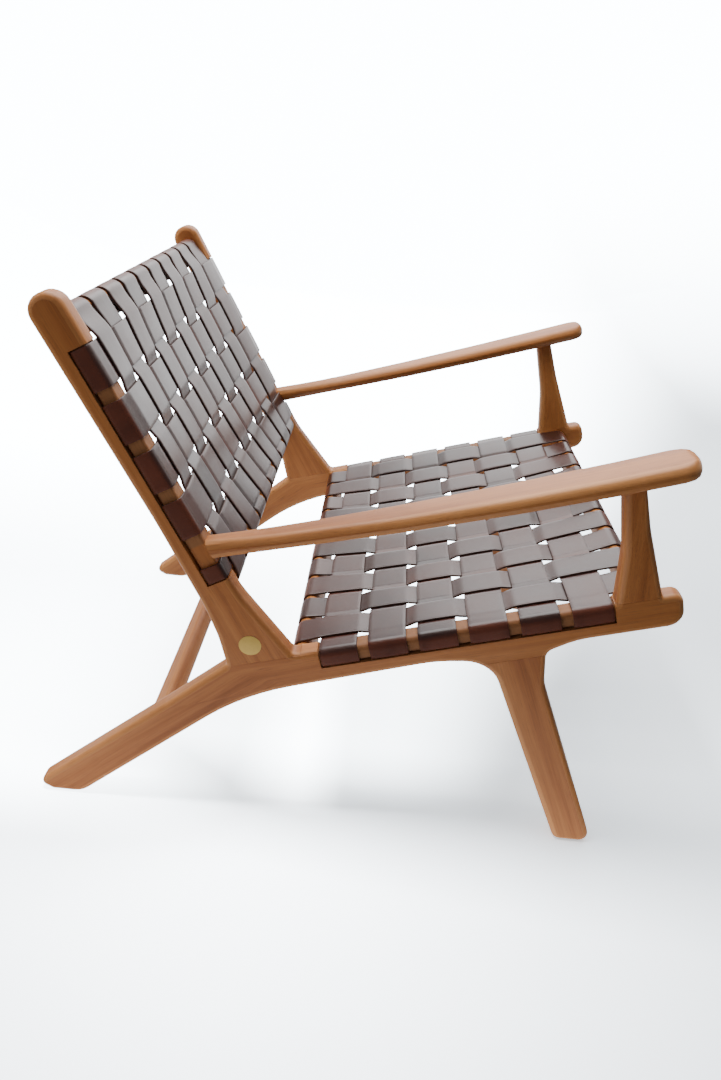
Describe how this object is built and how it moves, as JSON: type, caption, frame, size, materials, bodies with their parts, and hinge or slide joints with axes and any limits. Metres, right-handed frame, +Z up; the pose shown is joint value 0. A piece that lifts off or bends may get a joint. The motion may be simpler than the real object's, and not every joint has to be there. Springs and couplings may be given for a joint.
{
  "type": "lounge chair",
  "caption": "Low lounge chair with a sloping seat and back of woven leather straps, shaped hardwood side frames and tapered open arms.",
  "frame": {"origin": "on the floor, under the middle of the chair's box", "axes": "+X to the sitter's left, +Y to the chair's back, +Z up; the sitter faces -Y"},
  "size_m": [0.7278, 0.8312, 0.7111],
  "materials": {
    "teak": "satin oiled",
    "beech": "bare",
    "leather": "glossy waxed"
  },
  "bodies": {
    "root": {"seat_rail_left": "teak", "seat_rail_right": "teak", "back_post_left": "teak", "back_post_right": "teak", "front_leg_left": "teak", "front_leg_right": "teak", "arm_post_left": "teak", "arm_post_right": "teak", "armrest_left": "teak", "armrest_right": "teak", "rear_seat_bar": "teak", "front_seat_bar": "teak", "bottom_back_bar": "teak", "top_back_bar": "teak", "rear_stretcher": "teak", "post_dowel_left": "beech", "post_dowel_right": "beech", "front_leg_dowel_left": "beech", "front_leg_dowel_right": "beech", "arm_post_lower_dowel_left": "beech", "arm_post_lower_dowel_right": "beech", "arm_post_upper_dowel_left": "beech", "arm_post_upper_dowel_right": "beech", "arm_rear_dowel_left": "beech", "arm_rear_dowel_right": "beech", "seat_strap_1": "leather", "back_strap_1": "leather", "seat_strap_2": "leather", "back_strap_2": "leather", "seat_strap_3": "leather", "back_strap_3": "leather", "seat_strap_4": "leather", "back_strap_4": "leather", "seat_strap_5": "leather", "back_strap_5": "leather", "seat_strap_6": "leather", "back_strap_6": "leather", "seat_strap_7": "leather", "back_strap_7": "leather", "seat_strap_8": "leather", "back_strap_8": "leather", "seat_strap_9": "leather", "back_strap_9": "leather", "seat_strap_10": "leather", "back_strap_10": "leather", "seat_cross_strap_1": "leather", "seat_cross_strap_2": "leather", "seat_cross_strap_3": "leather", "seat_cross_strap_4": "leather", "seat_cross_strap_5": "leather", "seat_cross_strap_6": "leather", "back_cross_strap_1": "leather", "back_cross_strap_2": "leather", "back_cross_strap_3": "leather", "back_cross_strap_4": "leather", "back_cross_strap_5": "leather"}
  },
  "joints": []
}
